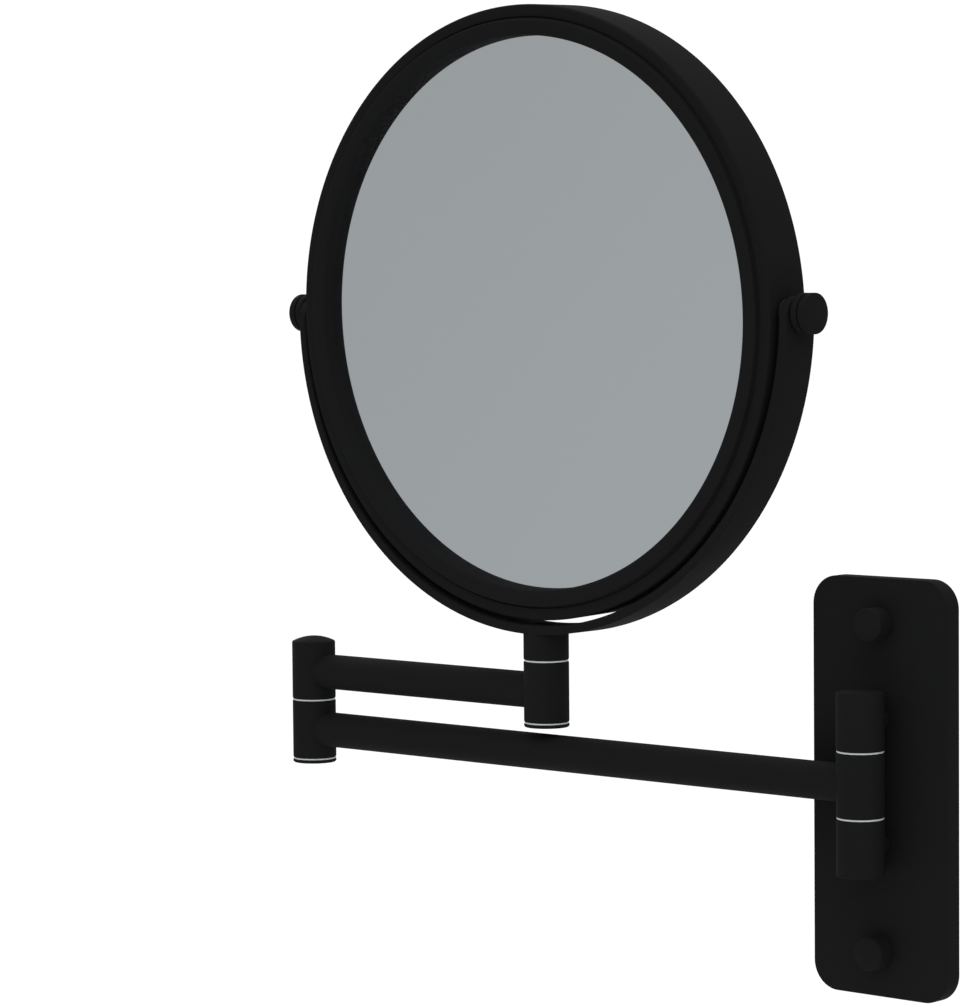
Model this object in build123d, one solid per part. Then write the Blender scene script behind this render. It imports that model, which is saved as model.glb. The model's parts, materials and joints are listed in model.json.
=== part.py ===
from build123d import *
import os
from math import sqrt

# Two-sided magnifying makeup mirror on a double swing arm, millimetres.
# The wall is the plane y = 0, the room lies towards -Y, and up is +Z.
# The origin is the centre of the wall plate's back face.

# Wall plate
PLATE_W = 54.0
PLATE_H = 138.0
PLATE_T = 6.35
PLATE_CORNER_R = 9.5
PLATE_EDGE_R = 0.5
STUD_SPACING = 108.0
STUD_HOLE_R = 2.75

# Cap nuts that close the two wall studs
CAP_NUT_R = 5.5
CAP_NUT_LENGTH = 7.2
CAP_NUT_CROWN = 0.8
CAP_NUT_EDGE_R = 0.7
CAP_NUT_BORE_R = 2.4
CAP_NUT_BORE_DEPTH = 5.2

# Hinge barrels, all turned from one bar
BARREL_R = 7.94
BARREL_OFFSET = 17.0
BARREL_EDGE = 0.5
HUB_H = 21.2
KNUCKLE_H = 18.9
KNUCKLE_CROWN = 0.6
DOME_H = 2.0
ELBOW_HUB_H = 21.0

# Hinge pins, their bushes and the thrust washers
PIN_R = 3.0
BUSH_R = 4.5
WASHER_R = 7.75
WASHER_T = 0.6
BOLT_HEAD_T = 1.2
BOLT_HEAD_CROWN = 0.4
HEX_KEY = 3.0
HEX_DEPTH = 2.2
THREAD_LENGTH = 12.0
STEM_THREAD_LENGTH = 4.6
PIN_HEAD_R = 5.2
PIN_HEAD_T = 3.0
PIN_HEAD_SUNK = 0.4

# Posts that hold the two knuckles off the plate
POST_R = 3.75
POST_SPIGOT_R = 2.6
POST_SPIGOT_L = 3.4
SCREW_R = 1.9
SCREW_HEAD_R = 3.8
SCREW_HEAD_SUNK = 0.15
SCREW_GRIP = 2.4
SCREW_SLOT_W = 0.9
SCREW_SLOT_DEPTH = 0.8

# Swing arms
LONG_ARM = 248.3
SHORT_ARM = 113.5
ARM_Z = 2.3
ARM_R = 6.35
ARM_WALL = 1.25
SPIGOT_LENGTH = 11.0
SHORT_ARM_RISE = 10.15

# Stem and yoke
STEM_H = 9.15
YOKE_GAP = 2.0
YOKE_T = 3.2
YOKE_W = 15.9
YOKE_EDGE_R = 0.7
YOKE_END_DROP = 2.3
STEM_SCREW_R = 2.0
STEM_SCREW_HEAD_R = 4.0
STEM_SCREW_GRIP = 3.4

# Mirror ring and its two bezels
RING_R = 106.1
RING_WALL = 4.4
RING_MIN_DEPTH = 19.8
RING_EDGE_R = 0.95
RING_INNER_CHAMFER = 0.3
BEZEL_W = 6.2
BEZEL_CREST = 1.6
BEZEL_INNER_EDGE_R = 1.4
BEZEL_OUTER_EDGE_R = 0.8
BEZEL_GROOVE = 0.5
REST_TILT = 1.6

# Glasses
GLASS_T = 3.0
GLASS_SETBACK = 3.8
GLASS_SPACE = 0.4
MAGNIFIER_R = 900.0
SPACER_W = 5.0

# Thumb knobs and the pivot washers beside the ring
KNOB_R = 6.8
KNOB_RIM_W = 2.5
KNOB_GROOVE_W = 0.7
KNOB_GROOVE_DEPTH = 0.6
KNOB_FLANK_W = 2.7
KNOB_NECK_CHAMFER = 0.6
KNOB_CROWN = 0.6
KNOB_EDGE_CHAMFER = 0.3
KNOB_STUD_R = 2.4
PIVOT_WASHER_R = 5.0
SPOT_FACE_DEPTH = 0.3

# Clearances
PRESS_GAP = 0.02
RUNNING_GAP = 0.05
LOOSE_GAP = 0.1
CURVED_GAP = 0.3
TIP_GAP = 0.4

# Radii of the yoke, which clears the mirror all round
YOKE_INNER_R = RING_R + YOKE_GAP
YOKE_R = YOKE_INNER_R + YOKE_T

# Heights that follow from the stack of hubs and washers
HUB_LOW = ARM_Z - HUB_H / 2
HUB_HIGH = ARM_Z + HUB_H / 2
KNUCKLE_LOW = HUB_LOW - WASHER_T - KNUCKLE_H
KNUCKLE_HIGH = HUB_HIGH + WASHER_T + KNUCKLE_H
POST_ZS = {"lower": KNUCKLE_LOW + KNUCKLE_H / 2, "upper": KNUCKLE_HIGH - KNUCKLE_H / 2}
ELBOW_HUB_LOW = HUB_HIGH + WASHER_T
SHORT_ARM_Z = ELBOW_HUB_LOW + SHORT_ARM_RISE
MIRROR_HUB_LOW = SHORT_ARM_Z - HUB_H / 2
MIRROR_HUB_HIGH = SHORT_ARM_Z + HUB_H / 2
STEM_LOW = MIRROR_HUB_HIGH + WASHER_T
PIVOT_Z = STEM_LOW + STEM_H + YOKE_R

# Upright hinge axes
AXIS_Y = -BARREL_OFFSET
ELBOW_X = -LONG_ARM
STEM_X = -LONG_ARM + SHORT_ARM

# Radii and depths inside the mirror
RING_INNER_R = RING_R - RING_WALL
BEZEL_INNER_R = RING_INNER_R - BEZEL_W
GLASS_R = RING_INNER_R - CURVED_GAP
BOWL_DEPTH = MAGNIFIER_R - sqrt(MAGNIFIER_R**2 - GLASS_R**2)
GLASSES_DEPTH = 2 * (GLASS_SETBACK + GLASS_T) + BOWL_DEPTH + GLASS_SPACE
RING_FACE = max(RING_MIN_DEPTH, GLASSES_DEPTH) / 2
GLASS_FACE = RING_FACE - GLASS_SETBACK
SPOT_FACE_X = RING_R - SPOT_FACE_DEPTH


def upright(radius, low, high, x=0.0):
    """Round bar on one of the upright hinge axes."""
    return Pos(x, AXIS_Y, (low + high) / 2) * Cylinder(radius, high - low)


def across(radius, left, right, y, z):
    """Round bar along X."""
    return Pos((left + right) / 2, y, z) * Rot(0, 90, 0) * Cylinder(radius, right - left)


def outward(radius, back, front, z, x=0.0):
    """Round bar square to the wall, from one distance off it to another."""
    return Pos(x, -(back + front) / 2, z) * Rot(90, 0, 0) * Cylinder(radius, front - back)


def rounded_section(points, rounds):
    """Closed outline whose named corners are rounded."""
    section = make_face(Polyline(points, close=True))
    for corner, radius in rounds:
        vertex = section.vertices().sort_by_distance((corner[0], corner[1], 0))[0]
        section = fillet(vertex, radius)
    return section


def crown(radius, rise):
    """Shallow dome that stands on the plane z = 0."""
    rim = (radius, 0)
    outline = Line((0, 0), rim) + ThreePointArc(rim, crown_point(radius, rise), (0, rise)) + Line((0, rise), (0, 0))
    return revolve(make_face(Plane.XZ * outline), Axis.Z)


def crown_point(radius, rise):
    """Point halfway along the dome's outline."""
    sphere = (radius**2 + rise**2) / (2 * rise)
    return (radius / 2, sqrt(sphere**2 - (radius / 2) ** 2) - (sphere - rise))


def hex_socket(x, low, depth):
    """Hexagonal key socket that opens downwards."""
    socket = extrude(RegularPolygon(HEX_KEY / 2, 6, major_radius=False), depth)
    return Pos(x, AXIS_Y, low) * socket


def countersunk(shank_r, head_r, length):
    """Countersunk screw along Z, with its head's flat face at z = 0 and its tip below."""
    head = Pos(0, 0, -(head_r - shank_r) / 2) * Cone(shank_r, head_r, head_r - shank_r)
    shank = Pos(0, 0, -length / 2) * Cylinder(shank_r, length)
    slot = Pos(0, 0, -SCREW_SLOT_DEPTH / 2) * Box(2 * head_r, SCREW_SLOT_W, SCREW_SLOT_DEPTH)
    return head + shank - slot


def wall_plate():
    """Flat plate with round corners, a soft front edge, stud holes and countersunk screw holes."""
    plate = extrude(Plane.XZ * RectangleRounded(PLATE_W, PLATE_H, PLATE_CORNER_R), PLATE_T)
    front = plate.faces().sort_by(Axis.Y)[0]
    plate = fillet(front.edges(), PLATE_EDGE_R)
    for side in (-1, 1):
        plate -= outward(STUD_HOLE_R, -1, PLATE_T + 1, side * STUD_SPACING / 2)
    for z in POST_ZS.values():
        plate -= outward(SCREW_R + LOOSE_GAP, -1, PLATE_T + 1, z)
        cone_r = SCREW_HEAD_R + SCREW_HEAD_SUNK + LOOSE_GAP
        depth = cone_r - SCREW_R
        plate -= Pos(0, -depth / 2, z) * Rot(-90, 0, 0) * Cone(SCREW_R, cone_r, depth)
    return plate


def post(z):
    """Short post between the plate and a knuckle, coped to the knuckle's round back."""
    back = PLATE_T
    tip = BARREL_OFFSET - BARREL_R + POST_SPIGOT_L
    body = outward(POST_R, back, BARREL_OFFSET, z) - upright(BARREL_R + PRESS_GAP, z - BARREL_R, z + BARREL_R)
    body += outward(POST_SPIGOT_R, back, tip, z)
    return body - outward(SCREW_R + PRESS_GAP, back - 1, back + SCREW_GRIP + TIP_GAP, z)


def post_screw(z):
    """Countersunk screw from the plate's back into the post."""
    screw = countersunk(SCREW_R, SCREW_HEAD_R, PLATE_T - SCREW_HEAD_SUNK + SCREW_GRIP)
    return Pos(0, -SCREW_HEAD_SUNK, z) * Rot(-90, 0, 0) * screw


def cap_nut(z):
    """Round cap nut with a blind bore, seated on the plate's front face."""
    nut = outward(CAP_NUT_R, PLATE_T, PLATE_T + CAP_NUT_LENGTH, z)
    nut = fillet(nut.faces().sort_by(Axis.Y)[0].edges(), CAP_NUT_EDGE_R)
    face_r = CAP_NUT_R - CAP_NUT_EDGE_R
    dome = Pos(0, -PLATE_T - CAP_NUT_LENGTH, z) * Rot(90, 0, 0) * crown(face_r, CAP_NUT_CROWN)
    return nut + dome - outward(CAP_NUT_BORE_R, PLATE_T - 1, PLATE_T + CAP_NUT_BORE_DEPTH, z)


def knuckle(which):
    """Fixed knuckle: blind and crowned above, counterbored for the pin's head below."""
    upper = which == "upper"
    low = HUB_HIGH + WASHER_T if upper else KNUCKLE_LOW
    high = KNUCKLE_HIGH if upper else HUB_LOW - WASHER_T
    body = upright(BARREL_R, low, high)
    outer = body.faces().sort_by(Axis.Z)[-1 if upper else 0]
    body = chamfer(outer.edges(), BARREL_EDGE)
    if upper:
        body += Pos(0, AXIS_Y, high) * crown(BARREL_R - BARREL_EDGE, KNUCKLE_CROWN)
        body -= upright(PIN_R + PRESS_GAP, low - 1, low + THREAD_LENGTH + TIP_GAP)
    else:
        body -= upright(PIN_R + PRESS_GAP, low - 1, high + 1)
        body -= upright(PIN_HEAD_R + PRESS_GAP, low - 1, low + PIN_HEAD_SUNK + PIN_HEAD_T)
    spigot_tip = BARREL_OFFSET - BARREL_R + POST_SPIGOT_L
    return body - outward(POST_SPIGOT_R + PRESS_GAP, 0, spigot_tip + PRESS_GAP, POST_ZS[which])


def bracket_pin():
    """Pin through both knuckles and the arm's hub, pushed up from below."""
    low = KNUCKLE_LOW + PIN_HEAD_SUNK
    pin = upright(PIN_R, low, HUB_HIGH + WASHER_T + THREAD_LENGTH)
    pin += upright(PIN_HEAD_R, low, low + PIN_HEAD_T)
    return pin - hex_socket(0.0, low, HEX_DEPTH)


def washer(low, x):
    """Thin thrust washer on a hinge axis."""
    return upright(WASHER_R, low, low + WASHER_T, x) - upright(PIN_R + LOOSE_GAP, low - 1, low + WASHER_T + 1, x)


def bush(low, x):
    """Plain bearing sleeve, as long as the hub that holds it."""
    sleeve = upright(BUSH_R, low, low + HUB_H, x)
    return sleeve - upright(PIN_R + RUNNING_GAP, low - 1, low + HUB_H + 1, x)


def arm_spigot(x, z, direction):
    """Spigot that leaves a hub along X and fills the arm tube's end."""
    radius = ARM_R - ARM_WALL - PRESS_GAP
    ends = sorted((x, x + direction * (BARREL_R + SPIGOT_LENGTH)))
    return across(radius, ends[0], ends[1], AXIS_Y, z)


def bushed_hub(low, x, arm_z, direction):
    """Hub with a bore for its bush and a spigot for its arm."""
    hub = upright(BARREL_R, low, low + HUB_H, x) + arm_spigot(x, arm_z, direction)
    return hub - upright(BUSH_R + PRESS_GAP, low - 1, low + HUB_H + 1, x)


def arm_tube(left, right, z):
    """Round tube between two hubs, its ends coped to them."""
    tube = across(ARM_R, left, right, AXIS_Y, z) - across(ARM_R - ARM_WALL, left, right, AXIS_Y, z)
    for x in (left, right):
        tube -= upright(BARREL_R + PRESS_GAP, z - 2 * ARM_R, z + 2 * ARM_R, x)
    return tube


def elbow_upper_hub():
    """Domed top hub of the elbow, threaded from below for the elbow bolt."""
    high = ELBOW_HUB_LOW + ELBOW_HUB_H
    hub = upright(BARREL_R, ELBOW_HUB_LOW, high, ELBOW_X)
    hub += Pos(ELBOW_X, AXIS_Y, high) * crown(BARREL_R, DOME_H)
    hub += arm_spigot(ELBOW_X, SHORT_ARM_Z, 1)
    bore_top = ELBOW_HUB_LOW + THREAD_LENGTH + TIP_GAP
    return hub - upright(PIN_R + PRESS_GAP, ELBOW_HUB_LOW - 1, bore_top, ELBOW_X)


def hinge_bolt(x, hub_low, thread_top):
    """Bolt with a full-width crowned head, put in from below through a bushed hub."""
    seat = hub_low - WASHER_T
    head_low = seat - BOLT_HEAD_T
    head = upright(BARREL_R, head_low, seat, x)
    head = chamfer(head.faces().sort_by(Axis.Z)[0].edges(), BOLT_HEAD_CROWN)
    dome = Rot(180, 0, 0) * crown(BARREL_R - BOLT_HEAD_CROWN, BOLT_HEAD_CROWN)
    bolt = head + Pos(x, AXIS_Y, head_low) * dome + upright(PIN_R, seat, thread_top, x)
    return bolt - hex_socket(x, head_low - BOLT_HEAD_CROWN, HEX_DEPTH)


def at_pivot(shape):
    """Move a shape drawn about the tilt axis to its place in the yoke."""
    return Pos(STEM_X, AXIS_Y, PIVOT_Z) * shape


def tilted(shape):
    """Lean a shape of the mirror forward and put it in the yoke."""
    return at_pivot(Rot(REST_TILT, 0, 0) * shape)


def turned_ring(section):
    """Turn a section, drawn as radius and depth towards the front, about the mirror's own axis."""
    return revolve(Plane.XY * mirror(section, Plane.XZ), Axis.Y)


def yoke_arch():
    """Half-round strip that carries the mirror, with round ends over the pivots."""
    half = YOKE_W / 2
    corners = [(YOKE_INNER_R, -half), (YOKE_R, -half), (YOKE_R, half), (YOKE_INNER_R, half)]
    hoop = turned_ring(rounded_section(corners, [(corner, YOKE_EDGE_R) for corner in corners]))
    reach = 2 * YOKE_R
    keep = Pos(0, 0, -YOKE_END_DROP - reach / 2) * Box(2 * reach, reach, reach)
    keep += across(half, -reach, reach, 0, -YOKE_END_DROP)
    arch = hoop & keep
    arch -= across(KNOB_STUD_R + LOOSE_GAP, -reach, reach, 0, 0)
    hole_r = STEM_SCREW_R + PRESS_GAP
    sink_r = STEM_SCREW_HEAD_R + PRESS_GAP
    sink_top = -YOKE_INNER_R - LOOSE_GAP
    arch -= Pos(0, 0, sink_top - (sink_r - hole_r) / 2) * Cone(hole_r, sink_r, sink_r - hole_r)
    arch -= Pos(0, 0, sink_top + YOKE_T / 2) * Cylinder(sink_r, YOKE_T)
    arch -= Pos(0, 0, -YOKE_R) * Cylinder(hole_r, 4 * YOKE_T)
    return at_pivot(arch)


def stem_hub():
    """Short stem under the yoke, its top coped to the strip's round outside."""
    stem = upright(BARREL_R, STEM_LOW, STEM_LOW + STEM_H + YOKE_T, STEM_X)
    stem -= at_pivot(Rot(90, 0, 0) * Cylinder(YOKE_R + PRESS_GAP, 4 * BARREL_R))
    bolt_top = STEM_LOW + STEM_THREAD_LENGTH
    stem -= upright(PIN_R + PRESS_GAP, STEM_LOW - 1, bolt_top + PRESS_GAP, STEM_X)
    return stem - upright(STEM_SCREW_R + PRESS_GAP, STEM_LOW, PIVOT_Z, STEM_X)


def stem_screw():
    """Countersunk screw from inside the yoke down into the stem."""
    screw = countersunk(STEM_SCREW_R, STEM_SCREW_HEAD_R, YOKE_T + STEM_SCREW_GRIP)
    return at_pivot(Pos(0, 0, -YOKE_INNER_R - LOOSE_GAP) * screw)


def mirror_ring():
    """Turned ring that holds both glasses, with a spot face and tapped hole at each pivot."""
    front_half = [
        (RING_R, RING_FACE),
        (RING_INNER_R + RING_INNER_CHAMFER, RING_FACE),
        (RING_INNER_R, RING_FACE - RING_INNER_CHAMFER),
    ]
    back_half = [(r, -z) for r, z in reversed(front_half)]
    rounds = [(front_half[0], RING_EDGE_R), (back_half[-1], RING_EDGE_R)]
    ring = turned_ring(rounded_section(front_half + back_half, rounds))
    ring -= across(KNOB_STUD_R + RUNNING_GAP, -2 * RING_R, 2 * RING_R, 0, 0)
    spot_r = PIVOT_WASHER_R + CURVED_GAP
    for side in (-1, 1):
        ends = sorted((side * SPOT_FACE_X, side * 2 * RING_R))
        ring -= across(spot_r, ends[0], ends[1], 0, 0)
    return ring


def bezel():
    """Retaining ring in front of a glass: straight inner wall, flat bead and an outer groove."""
    outer = RING_INNER_R - PRESS_GAP
    crest = RING_FACE + BEZEL_CREST
    flank = outer - BEZEL_GROOVE
    points = [
        (BEZEL_INNER_R, GLASS_FACE),
        (outer, GLASS_FACE),
        (outer, RING_FACE - BEZEL_GROOVE),
        (flank, RING_FACE),
        (flank, crest),
        (BEZEL_INNER_R, crest),
    ]
    return turned_ring(rounded_section(points, [(points[4], BEZEL_OUTER_EDGE_R), (points[5], BEZEL_INNER_EDGE_R)]))


def plain_glass():
    """Flat glass with ground edges."""
    points = [(0, GLASS_FACE - GLASS_T), (GLASS_R, GLASS_FACE - GLASS_T), (GLASS_R, GLASS_FACE), (0, GLASS_FACE)]
    return turned_ring(make_face(Polyline(points, close=True)))


def magnifying_glass():
    """Glass slumped to a shallow bowl, hollow side to the back."""
    depth = BOWL_DEPTH - GLASS_FACE
    hollow = [(r, depth - sagitta(r)) for r in (GLASS_R, GLASS_R / 2, 0)]
    back = [(r, z + GLASS_T) for r, z in hollow]
    outline = ThreePointArc(*hollow) + Line(hollow[2], back[2]) + ThreePointArc(*back) + Line(back[0], hollow[0])
    return turned_ring(make_face(outline))


def sagitta(radius):
    """Depth of the magnifying bowl's sphere at a radius."""
    return MAGNIFIER_R - sqrt(MAGNIFIER_R**2 - radius**2)


def spacer_ring():
    """Ring that keeps the two glasses apart."""
    half = GLASS_FACE - GLASS_T
    inner = GLASS_R - SPACER_W
    bowl_rise = BOWL_DEPTH - sagitta(inner) + PRESS_GAP
    points = [(inner, bowl_rise - half), (GLASS_R, PRESS_GAP - half), (GLASS_R, half), (inner, half)]
    return turned_ring(make_face(Polyline(points, close=True)))


def pivot_washer(side):
    """Spacer washer between the ring's spot face and the yoke."""
    yoke_face = sqrt(YOKE_INNER_R**2 - PIVOT_WASHER_R**2)
    ends = sorted((side * SPOT_FACE_X, side * (yoke_face - CURVED_GAP)))
    disc = across(PIVOT_WASHER_R, ends[0], ends[1], 0, 0)
    return disc - across(KNOB_STUD_R + RUNNING_GAP, ends[0] - 1, ends[1] + 1, 0, 0)


def thumb_knob(side):
    """Turned thumb screw: stud, flank, groove and a rim with a crowned face."""
    neck = YOKE_R + CURVED_GAP
    flank = neck + KNOB_FLANK_W
    rim = flank + KNOB_GROOVE_W
    face = rim + KNOB_RIM_W
    tip = RING_INNER_R + CURVED_GAP
    groove_r = KNOB_R - KNOB_GROOVE_DEPTH
    face_r = KNOB_R - KNOB_EDGE_CHAMFER
    points = [
        (0, tip),
        (KNOB_STUD_R, tip),
        (KNOB_STUD_R, neck),
        (KNOB_R - KNOB_NECK_CHAMFER, neck),
        (KNOB_R, neck + KNOB_NECK_CHAMFER),
        (KNOB_R, flank),
        (groove_r, flank),
        (groove_r, rim),
        (KNOB_R, rim),
        (KNOB_R, face - KNOB_EDGE_CHAMFER),
        (face_r, face),
        (0, face),
    ]
    knob = revolve(make_face(Plane.XZ * Polyline(points, close=True)), Axis.Z)
    knob += Pos(0, 0, face) * crown(face_r, KNOB_CROWN)
    return Rot(0, side * 90, 0) * knob


def build_nodes():
    """Every node of the assembly by name."""
    nodes = {
        "wall_plate": wall_plate(),
        "upper_post": post(POST_ZS["upper"]),
        "lower_post": post(POST_ZS["lower"]),
        "post_screws": Compound([post_screw(z) for z in POST_ZS.values()]),
        "upper_cap_nut": cap_nut(STUD_SPACING / 2),
        "lower_cap_nut": cap_nut(-STUD_SPACING / 2),
        "upper_knuckle": knuckle("upper"),
        "lower_knuckle": knuckle("lower"),
        "bracket_pin": bracket_pin(),
        "bracket_upper_washer": washer(HUB_HIGH, 0.0),
        "bracket_lower_washer": washer(HUB_LOW - WASHER_T, 0.0),
        "bracket_hub": bushed_hub(HUB_LOW, 0.0, ARM_Z, -1),
        "bracket_bush": bush(HUB_LOW, 0.0),
        "long_arm_tube": arm_tube(ELBOW_X, 0.0, ARM_Z),
        "elbow_lower_hub": bushed_hub(HUB_LOW, ELBOW_X, ARM_Z, 1),
        "elbow_bush": bush(HUB_LOW, ELBOW_X),
        "elbow_washer": washer(HUB_HIGH, ELBOW_X),
        "elbow_bottom_washer": washer(HUB_LOW - WASHER_T, ELBOW_X),
        "elbow_upper_hub": elbow_upper_hub(),
        "elbow_bolt": hinge_bolt(ELBOW_X, HUB_LOW, ELBOW_HUB_LOW + THREAD_LENGTH),
        "short_arm_tube": arm_tube(ELBOW_X, STEM_X, SHORT_ARM_Z),
        "mirror_hub": bushed_hub(MIRROR_HUB_LOW, STEM_X, SHORT_ARM_Z, -1),
        "swivel_bush": bush(MIRROR_HUB_LOW, STEM_X),
        "swivel_washer": washer(MIRROR_HUB_HIGH, STEM_X),
        "swivel_bottom_washer": washer(MIRROR_HUB_LOW - WASHER_T, STEM_X),
        "swivel_bolt": hinge_bolt(STEM_X, MIRROR_HUB_LOW, STEM_LOW + STEM_THREAD_LENGTH),
        "stem_hub": stem_hub(),
        "stem_screw": stem_screw(),
        "yoke_arch": yoke_arch(),
        "mirror_ring": tilted(mirror_ring()),
        "front_bezel": tilted(bezel()),
        "back_bezel": tilted(mirror(bezel(), Plane.XZ)),
        "plain_glass": tilted(plain_glass()),
        "magnifying_glass": tilted(magnifying_glass()),
        "spacer_ring": tilted(spacer_ring()),
    }
    for name, side in (("left", -1), ("right", 1)):
        nodes[f"{name}_pivot_washer"] = tilted(pivot_washer(side))
        nodes[f"{name}_knob"] = at_pivot(thumb_knob(side))
    return nodes


os.makedirs("parts", exist_ok=True)
for node, shape in build_nodes().items():
    export_step(shape, f"parts/{node}.step")
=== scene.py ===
import json
import logging
import math
from collections.abc import Callable
from dataclasses import dataclass
from enum import Enum

import bpy
from mathutils import Matrix, Vector


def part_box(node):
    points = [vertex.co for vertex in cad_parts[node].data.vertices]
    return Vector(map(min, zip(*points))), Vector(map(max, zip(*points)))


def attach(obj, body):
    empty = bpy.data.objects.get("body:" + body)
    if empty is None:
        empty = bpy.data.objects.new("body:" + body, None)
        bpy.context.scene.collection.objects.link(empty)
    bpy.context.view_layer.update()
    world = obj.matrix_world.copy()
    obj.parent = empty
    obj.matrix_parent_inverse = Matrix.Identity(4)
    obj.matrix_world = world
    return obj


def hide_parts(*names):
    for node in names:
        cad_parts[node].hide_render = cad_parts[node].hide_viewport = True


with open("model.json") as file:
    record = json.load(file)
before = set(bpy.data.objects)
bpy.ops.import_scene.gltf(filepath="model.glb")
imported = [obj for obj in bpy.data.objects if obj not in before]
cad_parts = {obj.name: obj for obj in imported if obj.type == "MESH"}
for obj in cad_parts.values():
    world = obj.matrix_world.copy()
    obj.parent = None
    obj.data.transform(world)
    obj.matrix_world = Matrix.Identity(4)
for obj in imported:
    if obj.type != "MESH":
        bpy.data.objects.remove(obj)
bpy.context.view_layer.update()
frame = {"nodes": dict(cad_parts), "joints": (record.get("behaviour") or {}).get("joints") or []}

MM = 0.001
FULL_TURN = 2 * math.pi
HINGE_STEPS = 96
SAME_PLACE = 0.002 * MM
SAME_PLANE = math.radians(0.5)
LOG = logging.getLogger("makeup_mirror")

Pair = tuple[float, float]
Point = Pair
Triple = tuple[float, float, float]


class Slot(Enum):
    """Material slots of the record that the finishes belong to."""

    BLACK = "black_metal"
    GLASS = "mirror_glass"
    NYLON = "washer_nylon"
    STEEL = "bare_steel"
    PLASTIC = "spacer_plastic"


class Cut(Enum):
    """What a tool body does to the piece that it cuts."""

    AWAY = "DIFFERENCE"
    WITHIN = "INTERSECT"


class Direction(Enum):
    """Which way a turned piece's own axis points once it is in place."""

    UP = (0.0, 0.0, 0.0)
    LEFT = (0.0, -math.pi / 2, 0.0)
    RIGHT = (0.0, math.pi / 2, 0.0)
    ROOM = (math.pi / 2, 0.0, 0.0)
    WALL = (-math.pi / 2, 0.0, 0.0)


class Side(Enum):
    """The two ends of the tilt axis, as signs along X."""

    LEFT = -1
    RIGHT = 1

    @property
    def outward(self) -> Direction:
        """Direction from the mirror to this end."""
        return Direction.LEFT if self is Side.LEFT else Direction.RIGHT

    def of(self, kind: str) -> str:
        """Name of this side's piece of a kind, such as left_knob."""
        return f"{self.name.lower()}_{kind}"

    def inner_x(self, node: str) -> float:
        """X of a CAD node's end that faces the mirror, in metres."""
        low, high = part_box(node)
        return high.x if self is Side.LEFT else low.x


def arc(centre: Point, radius: float, start: float, end: float, count: int) -> list[Point]:
    """Points along a round stretch of an outline.

    Args:
        centre: Radius and height of the arc's centre, in millimetres.
        radius: Radius of the arc, in millimetres.
        start: Angle of the first point, in degrees from the outward direction.
        end: Angle of the last point, in degrees.
        count: Number of steps along the arc.

    Returns:
        The points, both ends included.
    """
    angles = [math.radians(start + (end - start) * step / count) for step in range(count + 1)]
    return [(centre[0] + radius * math.cos(a), centre[1] + radius * math.sin(a)) for a in angles]


def dome(radius: float, base: float, rise: float, count: int = 10) -> list[Point]:
    """Points of a shallow dome's outline from its rim to its top.

    Args:
        radius: Radius of the dome's rim, in millimetres.
        base: Height of the rim.
        rise: Height of the top above the rim.
        count: Number of steps.

    Returns:
        Points from the rim to the axis.
    """
    sphere = (radius**2 + rise**2) / (2 * rise)
    half = math.degrees(math.asin(radius / sphere))
    return arc((0.0, base + rise - sphere), sphere, 90 - half, 90, count)


def deselect() -> None:
    """Leave edit mode and select nothing."""
    if bpy.context.object and bpy.context.object.mode != "OBJECT":
        bpy.ops.object.mode_set(mode="OBJECT")
    bpy.ops.object.select_all(action="DESELECT")


def pick(piece: bpy.types.Object) -> None:
    """Make one piece the only selected and active object.

    Args:
        piece: The piece.
    """
    deselect()
    piece.select_set(True)
    bpy.context.view_layer.objects.active = piece


def select_faces(piece: bpy.types.Object, test: Callable[[bpy.types.MeshPolygon], bool]) -> None:
    """Select the faces of a mesh that pass a test, through object mode and back into edit mode.

    Args:
        piece: The piece, in edit mode.
        test: Says of one face whether it is selected.
    """
    bpy.ops.mesh.select_mode(type="FACE")
    bpy.ops.mesh.select_all(action="DESELECT")
    bpy.ops.object.mode_set(mode="OBJECT")
    for face in piece.data.polygons:
        face.select = test(face)
    bpy.ops.object.mode_set(mode="EDIT")


def chain(name: str, outline: list[Point], closed: bool) -> bpy.types.Object:
    """Model an outline as a chain of edges, by extruding one vertex from point to point.

    Args:
        name: Name of the piece.
        outline: Radius and height of each point, in millimetres.
        closed: Whether the last point joins the first.

    Returns:
        The piece, in edit mode, with its chain in the XZ plane.
    """
    deselect()
    bpy.ops.mesh.primitive_plane_add(size=MM, location=(0, 0, 0))
    piece = bpy.context.object
    piece.name = name
    bpy.ops.object.mode_set(mode="EDIT")
    bpy.ops.mesh.select_mode(type="VERT")
    bpy.ops.mesh.select_all(action="SELECT")
    bpy.ops.mesh.merge(type="CENTER")
    here = outline[0]
    bpy.ops.transform.translate(value=(here[0] * MM, 0, here[1] * MM))
    stops = outline[1:] + ([outline[0]] if closed else [])
    for there in stops:
        step = ((there[0] - here[0]) * MM, 0, (there[1] - here[1]) * MM)
        bpy.ops.mesh.extrude_vertices_move(TRANSFORM_OT_translate={"value": step})
        here = there
    return piece


def tidy_mesh(piece: bpy.types.Object) -> None:
    """Merge doubles and turn every face outwards.

    Args:
        piece: The piece, in edit mode.
    """
    bpy.ops.mesh.select_all(action="SELECT")
    bpy.ops.mesh.remove_doubles(threshold=SAME_PLACE)
    bpy.ops.mesh.normals_make_consistent(inside=False)
    bpy.ops.object.mode_set(mode="OBJECT")
    piece.select_set(True)


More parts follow.
